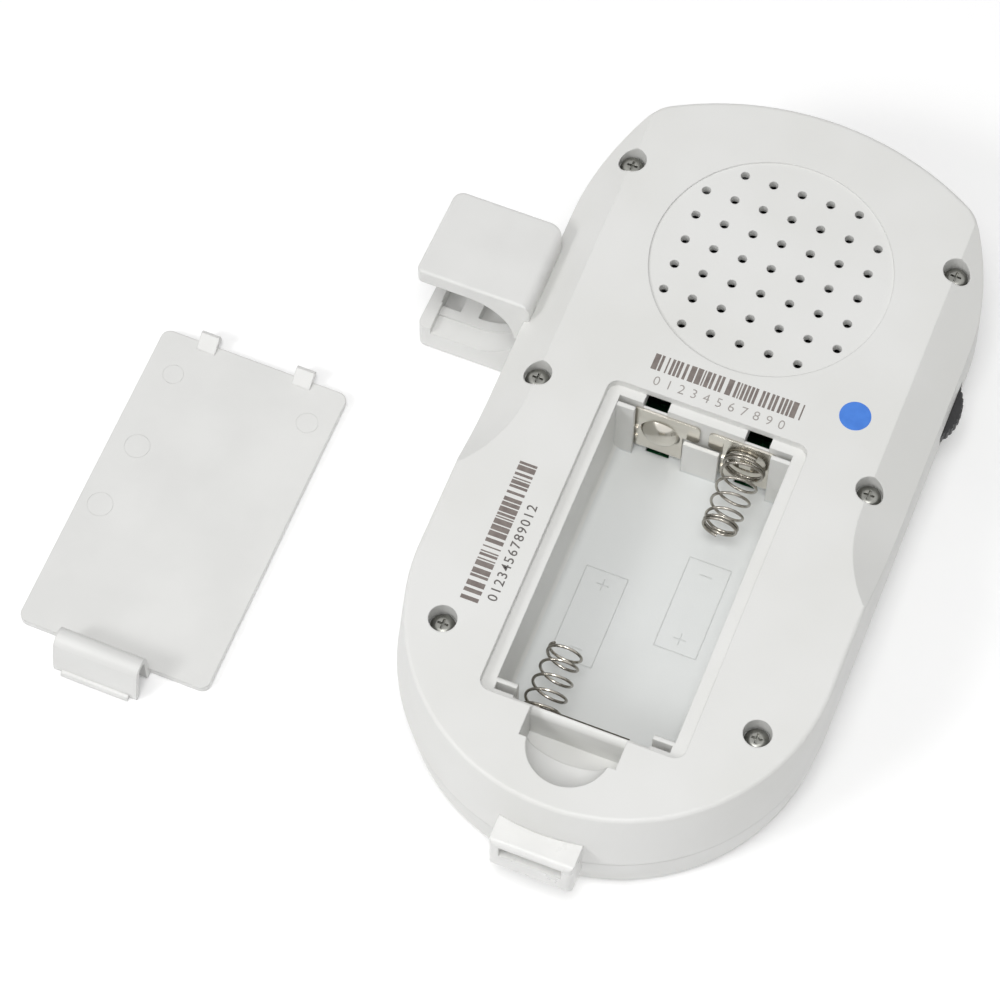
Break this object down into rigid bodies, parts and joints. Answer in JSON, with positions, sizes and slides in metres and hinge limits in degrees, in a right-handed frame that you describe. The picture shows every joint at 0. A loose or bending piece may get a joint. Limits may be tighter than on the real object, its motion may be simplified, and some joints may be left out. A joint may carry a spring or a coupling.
{
  "type": "fetal doppler monitor",
  "caption": "Hand-held fetal doppler monitor lying face down: loudspeaker grille, open battery bay, volume wheel, probe holder and strap eye, with its battery door laid beside it.",
  "frame": {"origin": "middle of the flat front face, on the surface that the monitor lies on", "axes": "+Z out of the back, +Y towards the loudspeaker end, +X towards the side with the volume wheel"},
  "size_m": [0.1314, 0.1393, 0.025],
  "materials": {
    "shell_abs": "fine textured moulded ABS, warm white",
    "white_abs": "smooth moulded ABS, white",
    "nickel_steel": "nickel-plated spring steel",
    "zinc_steel": "zinc-plated steel",
    "basket_steel": "black coated pressed steel",
    "ferrite": "sintered ferrite with steel pole plates",
    "cone_paper": "pressed black paper",
    "foam": "soft closed-cell foam",
    "wheel_black": "black moulded plastic",
    "shaft_metal": "turned",
    "board_green": "glass-epoxy board with green solder mask",
    "black_plastic": "black moulded epoxy or nylon",
    "can_aluminium": "drawn can",
    "can_steel": "drawn steel can",
    "window_clear": "clear moulded window",
    "display_glass": "display glass",
    "light_guide": "milky light guide",
    "contact_rubber": "layered elastomer",
    "button_plastic": "moulded, light blue"
  },
  "bodies": {
    "casing": {"rear_cover": "shell_abs", "front_cover": "shell_abs", "case_screws": "zinc_steel", "probe_holder": "white_abs", "strap_eye": "white_abs", "positive_contact": "nickel_steel", "negative_contact": "nickel_steel", "negative_spring": "nickel_steel", "bridge_contact": "nickel_steel", "bridge_spring": "nickel_steel", "speaker_gasket": "foam", "speaker_frame": "basket_steel", "speaker_magnet": "ferrite", "speaker_screws": "zinc_steel", "volume_potentiometer": "black_plastic", "main_board": "board_green", "board_screws": "zinc_steel", "processor_chip": "black_plastic", "amplifier_chip": "black_plastic", "capacitors": "can_aluminium", "crystal": "can_steel", "headphone_jack": "black_plastic", "probe_socket": "black_plastic", "lcd_window": "window_clear", "lcd_glass": "display_glass", "lcd_backlight": "light_guide", "lcd_connector": "contact_rubber", "button_switches": "black_plastic"},
    "door": {"battery_door": "white_abs"},
    "wheel": {"volume_wheel": "wheel_black", "wheel_shaft": "shaft_metal"},
    "cone": {"speaker_cone": "cone_paper"},
    "power_key": {"power_button": "button_plastic", "power_plunger": "black_plastic"},
    "mode_key": {"mode_button": "button_plastic", "mode_plunger": "black_plastic"},
    "light_key": {"light_button": "button_plastic", "light_plunger": "black_plastic"}
  },
  "joints": [
    {"name": "door_flip", "type": "hinge", "parent": "casing", "child": "door", "pos_m": [-0.03873, -0.02945, 0.0175], "axis": [0.0052, 1, 0], "range_deg": [0, 180]},
    {"name": "volume_turn", "type": "hinge", "parent": "casing", "child": "wheel", "pos_m": [0.0288, 0.0274, 0.0135], "axis": [0, 0, 1], "range_deg": [-150, 150]},
    {"name": "cone_drive", "type": "slide", "parent": "casing", "child": "cone", "axis": [0, 0, 1], "range_m": [-0.0005, 0.0005], "stiffness_N_per_m": 1500},
    {"name": "power_press", "type": "slide", "parent": "casing", "child": "power_key", "axis": [0, 0, 1], "range_m": [0, 0.0004], "stiffness_N_per_m": 1500},
    {"name": "mode_press", "type": "slide", "parent": "casing", "child": "mode_key", "axis": [0, 0, 1], "range_m": [0, 0.0004], "stiffness_N_per_m": 1500},
    {"name": "light_press", "type": "slide", "parent": "casing", "child": "light_key", "axis": [0, 0, 1], "range_m": [0, 0.0004], "stiffness_N_per_m": 1500}
  ]
}
